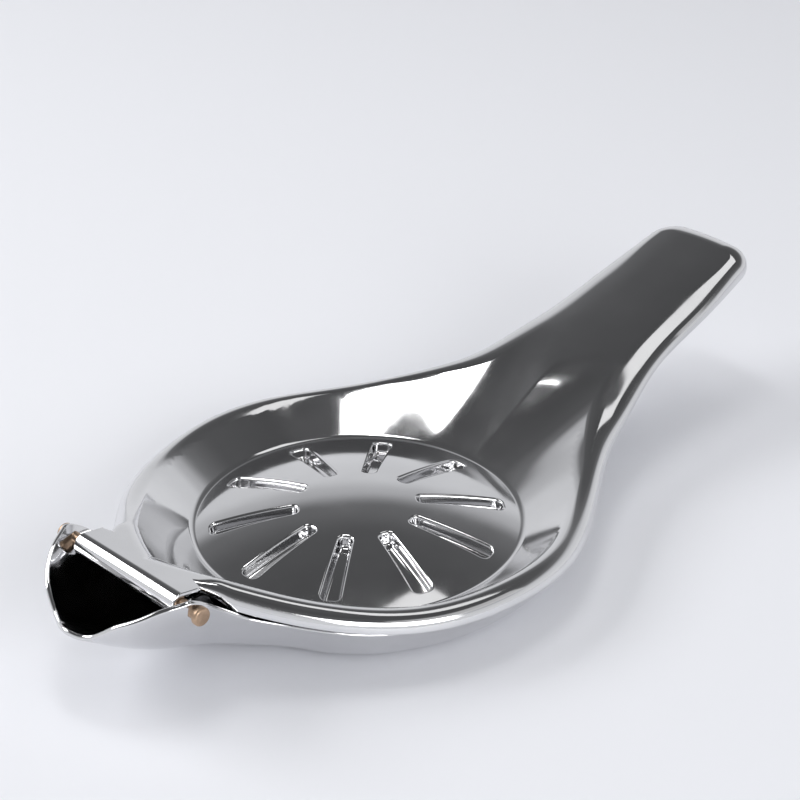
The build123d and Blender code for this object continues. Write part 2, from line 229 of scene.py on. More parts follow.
def inset_share(x):
    """How much of its usual inset the bowl's upper edge keeps."""
    start, full, fade, end = EAR_SPAN
    return 1 - (1 - EAR_INSET_SHARE) * smooth_step(x, start, full) * (1 - smooth_step(x, fade, end))


def bowl_top(x, y, sheet):
    """Height of the lower shell's upper face: bowl, beak and the handle inside the press's."""
    room = FLOOR_RADIUS**2 - x * x
    flat = np.sqrt((room + np.hypot(room, KNEE_SOFTNESS)) / 2)
    inset = BASE_WALL_INSET * inset_share(x) * (1 - smooth_step(x, INSET_END_X, BLEND_START_X))
    half_width = base_half_width(x) - inset
    aside = np.abs(y)
    proud = np.maximum(aside - half_width, 0)
    aside = np.minimum(aside, half_width) + WALL_EASE * np.tanh(proud / WALL_EASE)
    across = np.maximum(0.0, (aside - flat) / (half_width - flat))
    lift = FOOT_LIFT * smooth_step(np.hypot(x, y), FOOT_RADIUS + FOOT_EDGE[0],
                                   FOOT_RADIUS + FOOT_EDGE[1])
    keel = sheet + lift + np.maximum(keel_rise(x), 0)
    bowl = keel + (base_rim_height(x) - keel) * across**BASE_FULLNESS
    handle = press_top(x, y) - BASE_INSET
    share = smooth_step(x, BLEND_START_X, BLEND_END_X)
    return bowl * (1 - share) + handle * share


def unit(v):
    """Vectors of length 1 in the same directions."""
    return v / np.linalg.norm(v, axis=-1, keepdims=True)


def on_face(height, plan):
    """Points of a height field over plan points, and its normals there."""
    step = 0.02
    x, y = plan[:, 0], plan[:, 1]
    rise_x = (height(x + step, y) - height(x - step, y)) / (2 * step)
    rise_y = (height(x, y + step) - height(x, y - step)) / (2 * step)
    points = np.column_stack([x, y, height(x, y)])
    return points, unit(np.column_stack([-rise_x, -rise_y, np.ones(len(x))]))


class Sheet:
    """Steel sheet built as its upper face, then given its thickness and rounded edges."""

    ROUND_STEPS = 5

    def __init__(self, thickness, edge_round):
        self.thickness, self.edge_round = thickness, edge_round
        self.top, self.top_normal, self.under, self.under_normal = [], [], [], []
        self.faces = []

    def add(self, top, normal, under=None, under_normal=None):
        """Adds points of the upper face with their partners below; returns their numbers."""
        under = top - normal * self.thickness if under is None else under
        under_normal = -normal if under_normal is None else under_normal
        start = len(self.top)
        self.top.extend(top)
        self.top_normal.extend(normal)
        self.under.extend(under)
        self.under_normal.extend(under_normal)
        return list(range(start, len(self.top)))

    def strip(self, left, right, closed=False):
        """Quads between two rows of equal length, facing up where right is on the left's left."""
        count = len(left) if closed else len(left) - 1
        for i in range(count):
            j = (i + 1) % len(left)
            self.faces.append((left[i], left[j], right[j], right[i]))

    def outline(self, numbers):
        """Plan places of numbered points."""
        return np.array([self.top[n][:2] for n in numbers])

    def fill(self, loops, plan=None, height=None):
        """Fills the plan area inside the first loop and outside the others."""
        numbers = [n for loop in loops for n in loop]
        plan = np.empty((0, 2)) if plan is None else plan
        flat = [Vector(self.top[n][:2]) for n in numbers] + [Vector(p) for p in plan]
        edges, start = [], 0
        for loop in loops:
            edges += [(start + i, start + (i + 1) % len(loop)) for i in range(len(loop))]
            start += len(loop)
        if len(plan):
            numbers += self.add(*on_face(height, plan))
        _, _, triangles, sources, _, _ = delaunay_2d_cdt(flat, edges, [], 1, 1e-5)
        holes = [self.outline(loop) for loop in loops[1:]]
        for triangle in triangles:
            corners = [numbers[sources[v][0]] for v in triangle]
            a, b, c = self.outline(corners)
            if any(inside(hole, (a + b + c) / 3) for hole in holes):
                continue
            if (b[0] - a[0]) * (c[1] - a[1]) - (b[1] - a[1]) * (c[0] - a[0]) < 0:
                corners.reverse()
            self.faces.append(tuple(corners))

    def solid(self):
        """Points, normals and faces of the closed sheet with rounded free edges."""
        count = len(self.top)
        points = [np.array(self.top), np.array(self.under)]
        normals = [np.array(self.top_normal), np.array(self.under_normal)]
        faces = list(self.faces)
        faces += [tuple(n + count for n in reversed(face)) for face in self.faces]
        edges = {(f[i], f[(i + 1) % len(f)]) for f in self.faces for i in range(len(f))}
        after = {a: b for a, b in edges if (b, a) not in edges}
        before = {b: a for a, b in after.items()}
        free = sorted(after)
        top, under = points[0][free], points[1][free]
        along = unit(points[0][[after[n] for n in free]] - points[0][[before[n] for n in free]])
        outward = unit(np.cross(along, normals[0][free]))
        middle, half = (top + under) / 2, (top - under) / 2
        height = np.linalg.norm(half, axis=1, keepdims=True)
        up = half / height
        rows = [dict(zip(free, free))]
        for step in range(1, self.ROUND_STEPS):
            turn = math.pi * step / self.ROUND_STEPS
            rows.append({n: 2 * count + (step - 1) * len(free) + i for i, n in enumerate(free)})
            points.append(middle + half * math.cos(turn)
                          + outward * self.edge_round * math.sin(turn))
            normals.append(unit(up * math.cos(turn) / height
                                + outward * math.sin(turn) / self.edge_round))
        rows.append({n: n + count for n in free})
        for upper, lower in zip(rows, rows[1:]):
            faces += [(upper[n], lower[n], lower[after[n]], upper[after[n]]) for n in free]
        return np.vstack(points), np.vstack(normals), faces


def inside(polygon, point):
    """True if a plan point lies inside a closed polygon."""
    x, y = polygon[:, 0], polygon[:, 1]
    next_x, next_y = np.roll(x, -1), np.roll(y, -1)
    straddles = (y > point[1]) != (next_y > point[1])
    with np.errstate(divide="ignore", invalid="ignore"):
        cross_x = x + (point[1] - y) * (next_x - x) / (next_y - y)
    return bool(np.count_nonzero(straddles & (point[0] < cross_x)) % 2)


def inside_all(polygon, points):
    """Which of the plan points lie inside a closed polygon."""
    return np.array([inside(polygon, p) for p in points], bool)


def hexagonal_points(polygon, spacing, keep_clear):
    """Evenly spaced plan points inside a polygon, clear of given boundary points."""
    low, high = polygon.min(0), polygon.max(0)
    rows = np.arange(low[1], high[1], spacing * math.sqrt(0.75))
    points = []
    for number, y in enumerate(rows):
        xs = np.arange(low[0] + (number % 2) * spacing / 2, high[0], spacing)
        points.append(np.column_stack([xs, np.full(len(xs), y)]))
    points = np.vstack(points)
    points = points[inside_all(polygon, points)]
    gaps = np.empty(len(points))
    for start in range(0, len(points), 2000):
        block = points[start:start + 2000]
        gaps[start:start + 2000] = np.sqrt(
            ((block[:, None] - keep_clear[None]) ** 2).sum(-1)).min(1)
    return points[gaps > CLEAR_SHARE * spacing]


class RimLine:
    """Outline of the press from one end of its rolled rim, round the handle, to the other."""

    SPACING = 1.1
    FADE = 8.0

    def __init__(self, start_x):
        self.start_x = start_x
        step = 1e-3
        corner_x = HANDLE_END_X - HANDLE_CORNER_RADIUS
        self.lean = math.atan(float(press_half_width(corner_x) - press_half_width(corner_x + step))
                              / step)
        side_end = HANDLE_END_X - HANDLE_CORNER_RADIUS * (1 - math.sin(self.lean))
        dense = np.linspace(start_x, side_end, 2000)
        lengths = np.hypot(np.diff(dense), np.diff(press_half_width(dense)))
        travelled = np.concatenate([[0], np.cumsum(lengths)])
        count = int(travelled[-1] / self.SPACING)
        self.side_x = np.interp(np.linspace(0, travelled[-1], count), travelled, dense)
        self.turns = np.linspace(math.pi / 2 - self.lean, 0, 12)[1:]
        width = float(press_half_width(side_end))
        radius = HANDLE_CORNER_RADIUS
        self.centre = np.array([side_end - radius * math.sin(self.lean),
                                width - radius * math.cos(self.lean)])
        self.end_y = np.linspace(self.centre[1], 0, 6)[1:]

    def base(self, inset):
        """Outline points and their outward normals, so that inset points start at start_x."""
        step = 1e-3
        slope = float(press_half_width(self.start_x + step)
                      - press_half_width(self.start_x - step)) / (2 * step)
        fade = 1 - smooth_step(self.side_x, self.start_x, self.start_x + self.FADE)
        x = self.side_x - fade * np.asarray(inset) * slope / math.hypot(1, slope)
        slopes = (press_half_width(x + step) - press_half_width(x - step)) / (2 * step)
        side_normal = unit(np.column_stack([-slopes, np.ones(len(x))]))
        side = np.column_stack([x, press_half_width(x)])
        turn_normal = np.column_stack([np.cos(self.turns), np.sin(self.turns)])
        turn = self.centre + HANDLE_CORNER_RADIUS * turn_normal
        end = np.column_stack([np.full(len(self.end_y), HANDLE_END_X), self.end_y])
        end_normal = np.tile([1.0, 0.0], (len(end), 1))
        places = np.vstack([side, turn, end])
        normals = np.vstack([side_normal, turn_normal, end_normal])
        flip = np.array([1, -1])
        return (np.vstack([places, places[-2::-1] * flip]),
                np.vstack([normals, normals[-2::-1] * flip]))

    def station_x(self):
        """X of every station, by which widths and depths are looked up."""
        return self.base(0)[0][:, 0]


def rolled_rim(sheet, line, height, inset, reach, drop, lip_bottom, steps=9):
    """Adds the turned-down rim along a line, as a quarter of an ellipse that reaches inwards
    and drops by the given amounts; returns the row where it leaves the face."""
    sides = len(line.side_x)
    depth = inset + reach
    for _ in range(5):
        start, outward = line.base(depth[:sides])
        _, normal = on_face(height, start - outward * depth[:, None])
        lean = (normal[:, :2] * outward).sum(1)
        first = np.arctan2(reach / drop * lean, np.sqrt(1 - lean**2))
        depth = inset + reach * (1 - np.sin(first))
    rows = []
    for share in np.linspace(0, 1, steps):
        turn = first + (math.pi / 2 - first) * share
        start, outward = line.base((inset + reach * (1 - np.sin(turn)))[:sides])
        contact, normal = on_face(height, start - outward * depth[:, None])
        side = np.column_stack([outward, np.zeros(len(outward))])
        up = unit(normal - side * (normal * side).sum(1, keepdims=True))
        out_share = (reach * (np.sin(turn) - np.sin(first)))[:, None]
        up_share = (drop * (np.cos(turn) - np.cos(first)))[:, None]
        rows.append(sheet.add(contact + side * out_share + up * up_share,
                              unit(side * (np.sin(turn) / reach)[:, None]
                                   + up * (np.cos(turn) / drop)[:, None])))
    low = np.array([sheet.top[n] for n in rows[-1]])
    low[:, 2] = np.minimum(lip_bottom(low[:, 0]) + sheet.edge_round, low[:, 2] - LEAST_LIP)
    rows.append(sheet.add(low, side))
    for upper, lower in zip(rows, rows[1:]):
        sheet.strip(upper, lower)
    return rows[0]


def rounded_groove(offset):
    """Plan points and outward normals round one groove along +X, grown by offset."""
    half_inner, half_outer = GROOVE_INNER_WIDTH / 2, GROOVE_OUTER_WIDTH / 2
    corners = [(GROOVE_INNER_RADIUS, -half_inner, half_inner * GROOVE_INNER_CORNER),
               (GROOVE_OUTER_RADIUS, -half_outer, half_outer * GROOVE_OUTER_CORNER),
               (GROOVE_OUTER_RADIUS, half_outer, half_outer * GROOVE_OUTER_CORNER),
               (GROOVE_INNER_RADIUS, half_inner, half_inner * GROOVE_INNER_CORNER)]
    flank = math.atan2(half_outer - half_inner, GROOVE_OUTER_RADIUS - GROOVE_INNER_RADIUS)
    turns = [(-math.pi, -math.pi / 2 - flank), (-math.pi / 2 - flank, 0),
             (0, math.pi / 2 + flank), (math.pi / 2 + flank, math.pi)]
    points, normals = [], []
    for (x, y, radius), (start, end) in zip(corners, turns):
        first = np.array([math.cos(start), math.sin(start)])
        last = np.array([math.cos(end), math.sin(end)])
        # the arc's centre lies at its radius inside both flanks that meet at the corner
        centre = np.array([x, y]) - radius * np.linalg.solve(np.array([first, last]), [1, 1])
        for angle in np.linspace(start, end, 8):
            normal = np.array([math.cos(angle), math.sin(angle)])
            points.append(centre + normal * (radius + offset))
            normals.append(normal)
    filled_points, filled_normals = [], []
    for i, point in enumerate(points):
        following = points[(i + 1) % len(points)]
        cuts = max(1, round(np.linalg.norm(following - point) / 1.5))
        for k in range(cuts):
            filled_points.append(point + (following - point) * k / cuts)
            filled_normals.append(normals[i])
    return np.array(filled_points), np.array(filled_normals)


def groove_rows(depth, mouth_round, bed_round, thickness):
    """(offset, height, normal) rows across a groove's wall, for its upper and under faces."""
    draft, under_round = 0.12, 0.3
    under_mouth = thickness + under_round - mouth_round
    bed_centre = -(mouth_round + draft + bed_round)
    upper, lower = [], []
    for angle in np.radians(np.linspace(90, 180, 6)):
        c, s = math.cos(angle), math.sin(angle)
        upper.append((mouth_round * c, mouth_round * (s - 1), c, s))
        lower.append((under_mouth + under_round * c, -thickness + under_round * (s - 1), -c, -s))
    for angle in np.radians(np.linspace(0, -90, 7)):
        c, s = math.cos(angle), math.sin(angle)
        outer = bed_round + thickness
        upper.append((bed_centre + bed_round * c, bed_round * (1 + s) - depth, -c, -s))
        lower.append((bed_centre + outer * c, bed_round - depth + outer * s, c, s))
    return upper, lower


def on_floor(places, outward, rise, tilt_out, tilt_up):
    """Points at a height above the domed floor, with normals turned out of the floor's own."""
    points, floor_normal = on_face(floor_top, places)
    points[:, 2] += rise
    out = np.column_stack([outward, np.zeros(len(outward))])
    return points, unit(out * tilt_out + floor_normal * tilt_up)


def pressed_groove(sheet, turn, upper, lower):
    """Adds one groove of the floor; returns its mouth."""
    spin = np.array([[math.cos(turn), math.sin(turn)], [-math.sin(turn), math.cos(turn)]])
    rows = []
    for (offset, rise, out, up), (low_offset, low_rise, low_out, low_up) in zip(upper, lower):
        places, normals = rounded_groove(offset)
        low_places, _ = rounded_groove(low_offset)
        places, low_places, normals = places @ spin, low_places @ spin, normals @ spin
        rows.append(sheet.add(*on_floor(places, normals, rise, out, up),
                              *on_floor(low_places, normals, low_rise, low_out, low_up)))
    for outer, inner in zip(rows, rows[1:]):
        sheet.strip(outer, inner, closed=True)
    sheet.fill([rows[-1]])
    return rows[0]


def pressed_floor(sheet, settings):
    """Adds the domed floor with its grooves; returns the ring that the wall starts from."""
    count = 200
    angles = np.linspace(0, 2 * math.pi, count, endpoint=False)
    ring = np.column_stack([np.cos(angles), np.sin(angles)])
    wall, _ = on_face(press_top, ring * (FLOOR_RADIUS + CREASE_WIDTH))
    fall = FLOOR_RADIUS / math.sqrt(FLOOR_BALL**2 - FLOOR_RADIUS**2)
    step = WALL_FOOT_HEIGHT - FLOOR_HEIGHT
    crossing = FLOOR_RADIUS - step / (fall + wall_slope(np.abs(np.arctan2(ring[:, 1],
                                                                          ring[:, 0]))))
    corner, _ = on_face(floor_top, ring * crossing[:, None])
    bed, _ = on_face(floor_top, ring * (crossing - CREASE_WIDTH)[:, None])
    around = np.column_stack([-ring[:, 1], ring[:, 0], np.zeros(count)])
    rows = []
    for t in np.linspace(0, 1, 7):
        points = (1 - t) ** 2 * wall + 2 * t * (1 - t) * corner + t * t * bed
        tangent = (1 - t) * (wall - corner) + t * (corner - bed)
        rows.append(sheet.add(points, unit(np.cross(tangent, around))))
    for outer, inner in zip(rows, rows[1:]):
        sheet.strip(outer, inner, closed=True)
    upper, lower = groove_rows(settings.groove_depth / MM, settings.groove_mouth / MM,
                               settings.groove_bed / MM, sheet.thickness)
    mouths = [pressed_groove(sheet, 2 * math.pi * number / GROOVE_COUNT, upper, lower)
              for number in range(GROOVE_COUNT)]
    border = sheet.outline(rows[-1])
    edges = [sheet.outline(mouth) for mouth in mouths]
    plan = hexagonal_points(border, 1.5 * settings.mesh_step / MM, np.vstack([border, *edges]))
    in_groove = np.any([inside_all(edge, plan) for edge in edges], axis=0)
    sheet.fill([rows[-1], *mouths], plan[~in_groove], floor_top)
    return rows[0]


def curled_knuckle(sheet, row):
    """Adds the curl about the pin, from the tongue's last row."""
    across = np.array([sheet.top[n][1] for n in row])
    rows = [row]
    for angle in np.radians(np.linspace(KNUCKLE_START, KNUCKLE_END, 40)[1:]):
        normal = np.tile([-math.sin(angle), 0, math.cos(angle)], (len(row), 1))
        centre = np.column_stack([np.full(len(row), HINGE_X), across,
                                  np.full(len(row), HINGE_Z)])
        rows.append(sheet.add(centre + normal * KNUCKLE_RADIUS, normal))
    for near, far in zip(rows, rows[1:]):
        sheet.strip(far, near)


def handle_reach(x):
    """How much further the rim's roll reaches across the handle than round the bowl."""
    return (HANDLE_REACH * smooth_step(x, *HANDLE_REACH_SPAN)
            - HANDLE_REACH_LOSS * smooth_step(x, *HANDLE_END_SPAN))


def press_sheet(settings):
    """Upper shell: grooved floor, wall, rolled rim, handle, tongue and knuckle."""
    sheet = Sheet(settings.thickness / MM, settings.edge_round / MM)
    floor_ring = pressed_floor(sheet, settings)
    line = RimLine(RIM_START_X)
    x = line.station_x()
    drop = (FRONT_ROLL_RADIUS + (ROLL_RADIUS - FRONT_ROLL_RADIUS)
            * smooth_step(x, RIM_START_X, FULL_ROLL_X))
    rim = rolled_rim(sheet, line, press_top, np.zeros(len(x)), drop + handle_reach(x), drop,
                     lambda v: rim_height(v) - lip_depth(v))
    side = KNUCKLE_HALF_LENGTH - sheet.edge_round
    start = math.radians(KNUCKLE_START)
    tongue_end = HINGE_X - KNUCKLE_RADIUS * math.sin(start)
    first = sheet.outline(rim[:1])[0]
    turn = np.array([RIM_START_X - TONGUE_FLARE, side])
    along = [first + (turn - first) * t for t in (0.35, 0.7, 1.0)]
    along += [np.array([v, side]) for v in np.linspace(turn[0], tongue_end, 7)[1:-1]]
    flank = np.array(along)
    left = sheet.add(*on_face(press_top, flank))
    right = sheet.add(*on_face(press_top, flank * [1, -1]))
    ys = np.linspace(side, -side, 30)
    end_normal = np.tile([-math.sin(start), 0, math.cos(start)], (len(ys), 1))
    end_row = np.column_stack([np.full(len(ys), HINGE_X), ys, np.full(len(ys), HINGE_Z)])
    end = sheet.add(end_row + end_normal * KNUCKLE_RADIUS, end_normal)
    outline = rim + right + end[::-1] + left[::-1]
    border, ring = sheet.outline(outline), sheet.outline(floor_ring)
    plan = hexagonal_points(border, settings.mesh_step / MM, np.vstack([border, ring]))
    ring_radius = FLOOR_RADIUS + CREASE_WIDTH + 0.5 * settings.mesh_step / MM
    plan = plan[np.hypot(plan[:, 0], plan[:, 1]) > ring_radius]
    sheet.fill([outline, floor_ring], plan, press_top)
    curled_knuckle(sheet, end)
    return sheet


def beak_line(spacing):
    """Plan points of the beak's outline from its tip to the ear."""
    half = np.array(BEAK_OUTLINE, float)
    both = np.vstack([half[:0:-1] * [1, -1], half])
    travelled = np.concatenate([[0], np.cumsum(np.hypot(*np.diff(both, axis=0).T))])
    travelled -= travelled[len(half) - 1]
    line_x, line_y = (natural_spline(list(zip(travelled, both[:, i]))) for i in (0, 1))
    steps = np.linspace(0, travelled[-1], round(travelled[-1] / spacing))
    return np.column_stack([line_x(steps), line_y(steps)])


def bowl_sheet(settings):
    """Lower shell: bowl, beak with its ears, and the channel handle under the press's."""
    sheet = Sheet(settings.thickness / MM, settings.edge_round / MM)

    def height(x, y):
        return bowl_top(x, y, sheet.thickness)

    line = RimLine(BASE_JOIN_X)
    x = line.station_x()
    rim = rolled_rim(sheet, line, height, np.full(len(x), BASE_INSET),
                     BASE_ROLL_RADIUS + handle_reach(x), np.full(len(x), BASE_ROLL_RADIUS),
                     flange_bottom, steps=7)
    side_x = np.concatenate([np.linspace(*EAR_STATIONS), np.linspace(*BOWL_STATIONS)])
    edge = np.vstack([beak_line(BEAK_SPACING), np.column_stack([side_x, base_half_width(side_x)])])
    along = np.gradient(edge, axis=0)
    outward = unit(np.column_stack([-along[:, 1], along[:, 0]]))
    outward[0] = (-1, 0)
    half = edge
    for _ in range(4):
        normal = on_face(height, half)[1]
        lean = np.maximum(-(normal[:, :2] * outward).sum(1), 0)
        inset = sheet.edge_round * normal[:, 2] + sheet.thickness * lean * inset_share(edge[:, 0])
        half = edge - outward * inset[:, None]
    corner = sheet.outline(rim[:1])[0]
    draw = half[-1] + (corner - half[-1]) * np.linspace(0, 1, 4)[1:-1, None]
    half = np.vstack([half, draw])
    left = sheet.add(*on_face(height, half))
    right = sheet.add(*on_face(height, half[1:] * [1, -1]))
    outline = left + rim + right[::-1]
    border = sheet.outline(outline)
    plan = hexagonal_points(border, settings.mesh_step / MM, border)
    sheet.fill([outline], plan, height)
    return sheet


def link_object(name, data):
    """Puts a mesh, lamp or camera into the scene."""
    made = bpy.data.objects.new(name, data)
    bpy.context.scene.collection.objects.link(made)
    return made


def make_object(name, points, normals, faces, material):
    """Links a smooth-shaded mesh object made of points in millimetres."""
    mesh = bpy.data.meshes.new(name)
    mesh.from_pydata((np.asarray(points) * MM).tolist(), [], faces)
    mesh.validate()
    mesh.shade_smooth()
    mesh.normals_split_custom_set_from_vertices(np.asarray(normals).tolist())
    mesh.materials.append(material)
    return link_object(name, mesh)


def pin_rows(settings):
    """(distance along the pin, radius, normal along, normal out) rows of one half of the pin."""
    shank, head = settings.shank_radius / MM, settings.head_radius / MM
    end, length = settings.half_length / MM, settings.head_length / MM
    inner_round, face_round = 0.18, 0.38
    rows = [(0, shank, 0, 1), (end - length - 0.12, shank, 0, 1), (end - length, shank, -0.4, 0.9),
            (end - length, shank + 0.08, -1, 0.1)]
    for angle in np.linspace(180, 90, 5):
        c, s = math.cos(math.radians(angle)), math.sin(math.radians(angle))
        rows.append((end - length + inner_round + inner_round * c,
                     head - inner_round + inner_round * s, c, s))
    for angle in np.linspace(90, 8, 7):
        c, s = math.cos(math.radians(angle)), math.sin(math.radians(angle))
        rows.append((end - face_round + face_round * c, head - face_round + face_round * s, c, s))
    for radius in (0.7, 0.45, 0.2):
        rows.append((end - 0.02 * radius, head * radius, 1, 0.05 * radius))
    return rows


def pin_solid(settings):
    """Points, normals and faces of the pin with a head on both ends."""
    rows = pin_rows(settings)
    rows = [(-a, r, -na, nr) for a, r, na, nr in reversed(rows[1:])] + rows
    count = 56
    angles = np.linspace(0, 2 * math.pi, count, endpoint=False)
    points, normals, faces = [], [], []
    for along, radius, normal_along, normal_out in rows:
        for angle in angles:
            c, s = math.cos(angle), math.sin(angle)
            points.append((HINGE_X + radius * c, along, HINGE_Z + radius * s))
            normals.append((normal_out * c, normal_along, normal_out * s))
    for row in range(len(rows) - 1):
        for i in range(count):
            j = (i + 1) % count
            a, b = row * count, (row + 1) * count
            faces.append((a + i, b + i, b + j, a + j))
    faces.append(tuple(range(count)))
    faces.append(tuple(reversed(range((len(rows) - 1) * count, len(rows) * count))))
    return np.array(points), unit(np.array(normals)), faces


class ShapeSettings(bpy.types.PropertyGroup):
    """Sizes of the two pressed steel shells."""

    thickness: FloatProperty(name="Sheet thickness", default=0.00085, unit="LENGTH",
                             description="Thickness of the steel of both shells")
    edge_round: FloatProperty(name="Edge rounding", default=0.00025, unit="LENGTH",
                              description="How far a rounded free edge of the sheet stands out")
    groove_depth: FloatProperty(name="Groove depth", default=0.002, unit="LENGTH",
                                description="Depth of the pressed grooves below the floor")
    groove_mouth: FloatProperty(name="Groove mouth rounding", default=0.0005, unit="LENGTH",
                                description="Radius where the floor turns down into a groove")
    groove_bed: FloatProperty(name="Groove bed rounding", default=0.0006, unit="LENGTH",
                              description="Radius where a groove's wall meets its bed")
    mesh_step: FloatProperty(name="Mesh step", default=0.0009, unit="LENGTH",
                             description="Spacing of the points inside a curved face")


class PinSettings(bpy.types.PropertyGroup):
    """Sizes of the hinge pin."""

    shank_radius: FloatProperty(name="Shank radius", default=0.001, unit="LENGTH",
                                description="Radius of the pin's shank")
    head_radius: FloatProperty(name="Head radius", default=0.0015, unit="LENGTH",
                               description="Radius of the pin's two heads")
    head_length: FloatProperty(name="Head length", default=0.001, unit="LENGTH",
                               description="Length of each head along the pin")
    half_length: FloatProperty(name="Half length", default=0.0164, unit="LENGTH",
                               description="From the pin's middle to the end of a head")


class FinishSettings(bpy.types.PropertyGroup):
    """Colours and polish of the metals."""

    press_colour: FloatVectorProperty(name="Press steel", subtype="COLOR", size=3,
                                      default=(0.78, 0.78, 0.79), min=0, max=1,
                                      description="Colour of the press's polished steel")
    base_colour: FloatVectorProperty(name="Base steel", subtype="COLOR", size=3,
                                     default=(0.76, 0.76, 0.77), min=0, max=1,
                                     description="Colour of the lower shell's polished steel")
    pin_colour: FloatVectorProperty(name="Pin copper", subtype="COLOR", size=3,
                                    default=(0.52, 0.37, 0.26), min=0, max=1,
                                    description="Colour of the copper hinge pin")
    steel_roughness: FloatProperty(name="Steel roughness", default=0.07, min=0, max=1,
                                   description="Roughness of the cleanest polished steel")
    pin_roughness: FloatProperty(name="Pin roughness", default=0.3, min=0, max=1,
                                 description="Roughness of the pin's copper")


class StageSettings(bpy.types.PropertyGroup):
    """Floor, lamps and camera."""

    floor_colour: FloatVectorProperty(name="Floor", subtype="COLOR", size=3,
                                      default=(0.83, 0.84, 0.88), min=0, max=1,
                                      description="Colour of the studio floor")
    key: FloatProperty(name="Overhead brightness", default=6.0, min=0,
                       description="Brightness of the softbox above, as seen in the steel")
    fill: FloatProperty(name="Side brightness", default=5.0, min=0,
                        description="Brightness of the softboxes at the sides")
    lens: FloatProperty(name="Focal length", default=0.108, unit="CAMERA", subtype="DISTANCE",
                        description="Focal length of the camera")


def settings(name):
    """The scene's group of settings with that name."""
    return getattr(bpy.context.scene, "squeezer_" + name)


class Nodes:
    """Short way to write a material's node tree."""

    def __init__(self, name):
        self.material = bpy.data.materials.new(name)
        self.material.use_nodes = True
        self.tree = self.material.node_tree
        self.shader = self.tree.nodes["Principled BSDF"]
        self.place = self.add("ShaderNodeTexCoord").outputs["Object"]

    def add(self, kind, inputs=None, **values):
        made = self.tree.nodes.new(kind)
        for key, value in values.items():
            setattr(made, key, value)
        for key, value in (inputs or {}).items():
            if isinstance(value, bpy.types.NodeSocket):
                self.link(value, made.inputs[key])
            else:
                made.inputs[key].default_value = value
        return made

    def link(self, output, target):
        self.tree.links.new(output, target)

    def noise(self, scale, detail=2.0, roughness=0.5, stretch=None):
        place = self.place
        if stretch is not None:
            place = self.add("ShaderNodeMapping", {"Vector": place, "Scale": stretch})
            place = place.outputs["Vector"]
        made = self.add("ShaderNodeTexNoise", {"Vector": place, "Scale": scale,
                                               "Detail": detail, "Roughness": roughness})
        return made.outputs["Fac"]

    def span(self, value, low, high, start, end):
        made = self.add("ShaderNodeMapRange", {"Value": value, "From Min": low, "From Max": high,
                                               "To Min": start, "To Max": end})
        return made.outputs["Result"]

    def mix(self, share, first, second):
        made = self.add("ShaderNodeMix", data_type="RGBA")
        self.link(share, made.inputs["Factor"])
        made.inputs["A"].default_value = (*first, 1)
        made.inputs["B"].default_value = (*second, 1)
        return made.outputs["Result"]

    def bump(self, height, strength, distance, under=None):
        made = self.add("ShaderNodeBump", {"Height": height, "Strength": strength,
                                           "Distance": distance})
        if under is not None:
            self.link(under, made.inputs["Normal"])
        return made.outputs["Normal"]


def polished_steel(name, colour, roughness):
    """Mirror-polished stainless steel with faint waviness, wiping marks and fine scratches."""
    nodes = Nodes(name)
    shader = nodes.shader
    shader.inputs["Metallic"].default_value = 1
    worn = tuple(c * 0.93 for c in colour)
    smudge = nodes.noise(55, 4, 0.6)
    nodes.link(nodes.mix(nodes.span(smudge, 0.35, 0.7, 0, 1), worn, colour),
               shader.inputs["Base Color"])
    film = nodes.span(nodes.noise(90, 3, 0.62), 0.42, 0.72, roughness, roughness + 0.07)
    nodes.link(film, shader.inputs["Roughness"])
    pressed = nodes.bump(nodes.noise(80, 1.5, 0.4), 0.18, 0.00025)
    scratches = nodes.noise(900, 2, 0.6, stretch=(0.12, 1, 0.5))
    nodes.link(nodes.bump(scratches, 0.06, 0.00001, pressed), shader.inputs["Normal"])
    return nodes.material


def copper(name, colour, roughness):
    """Satin copper with a darker tarnish and turning marks."""
    nodes = Nodes(name)
    shader = nodes.shader
    shader.inputs["Metallic"].default_value = 1
    tarnish = tuple(c * 0.72 for c in colour)
    stain = nodes.noise(700, 3, 0.6)
    nodes.link(nodes.mix(nodes.span(stain, 0.35, 0.65, 0, 1), tarnish, colour),
               shader.inputs["Base Color"])
    nodes.link(nodes.span(stain, 0.3, 0.7, roughness + 0.12, roughness),
               shader.inputs["Roughness"])
    marks = nodes.noise(1800, 2, 0.5, stretch=(1, 0.2, 1))
    nodes.link(nodes.bump(marks, 0.25, 0.00003), shader.inputs["Normal"])
    return nodes.material


class SQUEEZER_OT_press(bpy.types.Operator):
    """Builds the grooved upper shell with its handle and knuckle"""
    bl_idname = "squeezer.press"
    bl_label = "Build Press Shell"

    def execute(self, context):
        finish = settings("finish")
        steel = polished_steel("press_polished_steel", tuple(finish.press_colour),
                               finish.steel_roughness)
        shell = make_object("press_shell", *press_sheet(settings("shape")).solid(), steel)
        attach(shell, "press")
        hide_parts("upper_shell")
        return {"FINISHED"}


class SQUEEZER_OT_bowl(bpy.types.Operator):
    """Builds the lower shell with its bowl, beak and channel handle"""
    bl_idname = "squeezer.bowl"
    bl_label = "Build Bowl Shell"

    def execute(self, context):
        finish = settings("finish")
        steel = polished_steel("base_polished_steel", tuple(finish.base_colour),
                               finish.steel_roughness)
        shell = make_object("bowl_shell", *bowl_sheet(settings("shape")).solid(), steel)
        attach(shell, "base")
        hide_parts("lower_shell")
        return {"FINISHED"}


class SQUEEZER_OT_pin(bpy.types.Operator):
    """Builds the copper hinge pin with its two heads"""
    bl_idname = "squeezer.pin"
    bl_label = "Build Hinge Pin"

    def execute(self, context):
        finish = settings("finish")
        metal = copper("pin_copper", tuple(finish.pin_colour), finish.pin_roughness)
        pin = make_object("headed_pin", *pin_solid(settings("pin")), metal)
        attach(pin, "base")
        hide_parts("hinge_pin")
        return {"FINISHED"}


